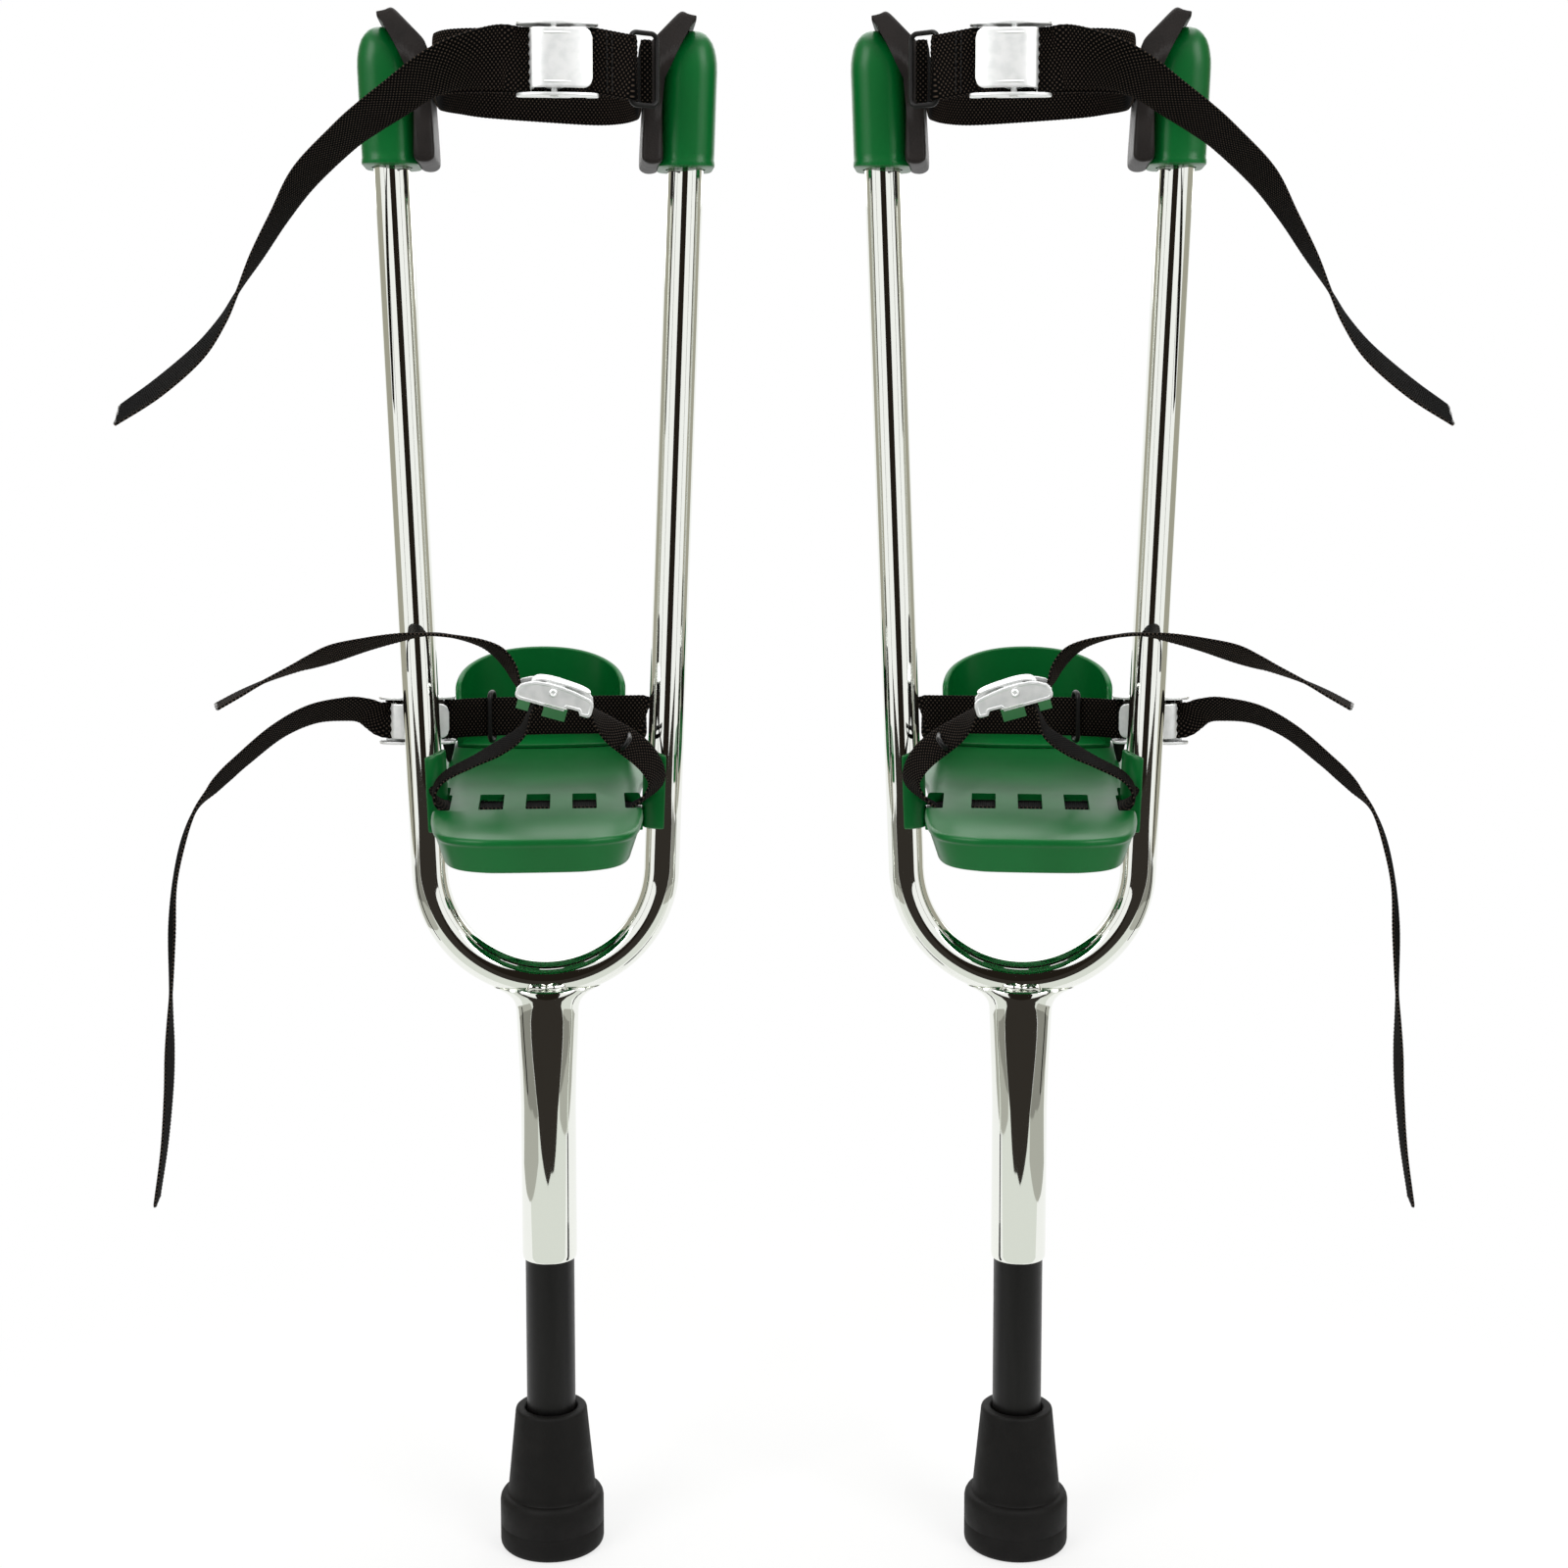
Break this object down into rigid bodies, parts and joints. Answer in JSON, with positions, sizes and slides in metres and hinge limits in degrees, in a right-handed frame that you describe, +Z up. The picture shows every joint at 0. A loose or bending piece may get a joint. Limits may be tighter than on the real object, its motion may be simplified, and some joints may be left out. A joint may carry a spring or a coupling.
{
  "type": "peg stilts",
  "caption": "Peg stilts: rubber-footed pegs under chromed U frames, with slotted foot plates, heel cups, knee pads and webbing straps closed by toothed cam buckles.",
  "frame": {"origin": "on the ground, midway between the two stilts and midway from the plates' toes to their heels", "axes": "+Z up along the pegs, +X to the right stilt, toes towards -Y"},
  "size_m": [0.6416, 0.2455, 0.7783],
  "materials": {
    "green_plastic": "glossy moulded",
    "chrome": "polished plating",
    "black_rubber": "matt",
    "black_tube": "satin coat",
    "black_foam": "matt foam",
    "black_webbing": "woven",
    "black_wire": "black coat",
    "zinc": "bright zinc plate"
  },
  "bodies": {
    "pair": {"left_u_tube": "chrome", "left_stem": "chrome", "left_peg_tube": "black_tube", "left_ferrule": "black_rubber", "left_foot_plate": "green_plastic", "left_heel_cup": "green_plastic", "left_outer_bracket": "green_plastic", "left_inner_bracket": "green_plastic", "left_outer_plate_bolt": "chrome", "left_inner_plate_bolt": "chrome", "left_outer_cap": "green_plastic", "left_inner_cap": "green_plastic", "left_outer_pad": "black_foam", "left_inner_pad": "black_foam", "left_knee_buckle_frame": "zinc", "left_knee_ring": "black_wire", "left_knee_short_strap": "black_webbing", "left_knee_strap": "black_webbing", "left_knee_tail": "black_webbing", "left_ankle_buckle_frame": "zinc", "left_ankle_ring": "black_wire", "left_ankle_strap": "black_webbing", "left_ankle_tail": "black_webbing", "left_toe_buckle_frame": "zinc", "left_toe_ring": "black_wire", "left_toe_strap": "black_webbing", "left_toe_tail": "black_webbing", "right_u_tube": "chrome", "right_stem": "chrome", "right_peg_tube": "black_tube", "right_ferrule": "black_rubber", "right_foot_plate": "green_plastic", "right_heel_cup": "green_plastic", "right_outer_bracket": "green_plastic", "right_inner_bracket": "green_plastic", "right_outer_plate_bolt": "chrome", "right_inner_plate_bolt": "chrome", "right_outer_cap": "green_plastic", "right_inner_cap": "green_plastic", "right_outer_pad": "black_foam", "right_inner_pad": "black_foam", "right_knee_buckle_frame": "zinc", "right_knee_ring": "black_wire", "right_knee_short_strap": "black_webbing", "right_knee_strap": "black_webbing", "right_knee_tail": "black_webbing", "right_ankle_buckle_frame": "zinc", "right_ankle_ring": "black_wire", "right_ankle_strap": "black_webbing", "right_ankle_tail": "black_webbing", "right_toe_buckle_frame": "zinc", "right_toe_ring": "black_wire", "right_toe_strap": "black_webbing", "right_toe_tail": "black_webbing"},
    "left_knee_cam": {"left_knee_cam": "zinc"},
    "left_ankle_cam": {"left_ankle_cam": "zinc"},
    "left_toe_cam": {"left_toe_cam": "zinc"},
    "right_knee_cam": {"right_knee_cam": "zinc"},
    "right_ankle_cam": {"right_ankle_cam": "zinc"},
    "right_toe_cam": {"right_toe_cam": "zinc"}
  },
  "joints": [
    {"name": "left_knee_cam_pivot", "type": "hinge", "parent": "pair", "child": "left_knee_cam", "pos_m": [-0.10762, -0.08399, 0.75], "axis": [0, 0, 1], "range_deg": [0, 15], "stiffness_Nm_per_rad": 0.3, "springref_deg": -20.05},
    {"name": "left_ankle_cam_pivot", "type": "hinge", "parent": "pair", "child": "left_ankle_cam", "pos_m": [-0.18827, -0.01576, 0.429], "axis": [0, 0, 1], "range_deg": [0, 15], "stiffness_Nm_per_rad": 0.3, "springref_deg": -20.05},
    {"name": "left_toe_cam_pivot", "type": "hinge", "parent": "pair", "child": "left_toe_cam", "pos_m": [-0.11384, -0.05041, 0.44862], "axis": [-0.0872, 0.9962, 0], "range_deg": [0, 15], "stiffness_Nm_per_rad": 0.3, "springref_deg": -20.05},
    {"name": "right_knee_cam_pivot", "type": "hinge", "parent": "pair", "child": "right_knee_cam", "pos_m": [0.10762, -0.08399, 0.75], "axis": [0, 0, -1], "range_deg": [0, 15], "stiffness_Nm_per_rad": 0.3, "springref_deg": -20.05},
    {"name": "right_ankle_cam_pivot", "type": "hinge", "parent": "pair", "child": "right_ankle_cam", "pos_m": [0.18827, -0.01576, 0.429], "axis": [0, 0, -1], "range_deg": [0, 15], "stiffness_Nm_per_rad": 0.3, "springref_deg": -20.05},
    {"name": "right_toe_cam_pivot", "type": "hinge", "parent": "pair", "child": "right_toe_cam", "pos_m": [0.11384, -0.05041, 0.44862], "axis": [-0.0872, -0.9962, 0], "range_deg": [0, 15], "stiffness_Nm_per_rad": 0.3, "springref_deg": -20.05}
  ]
}
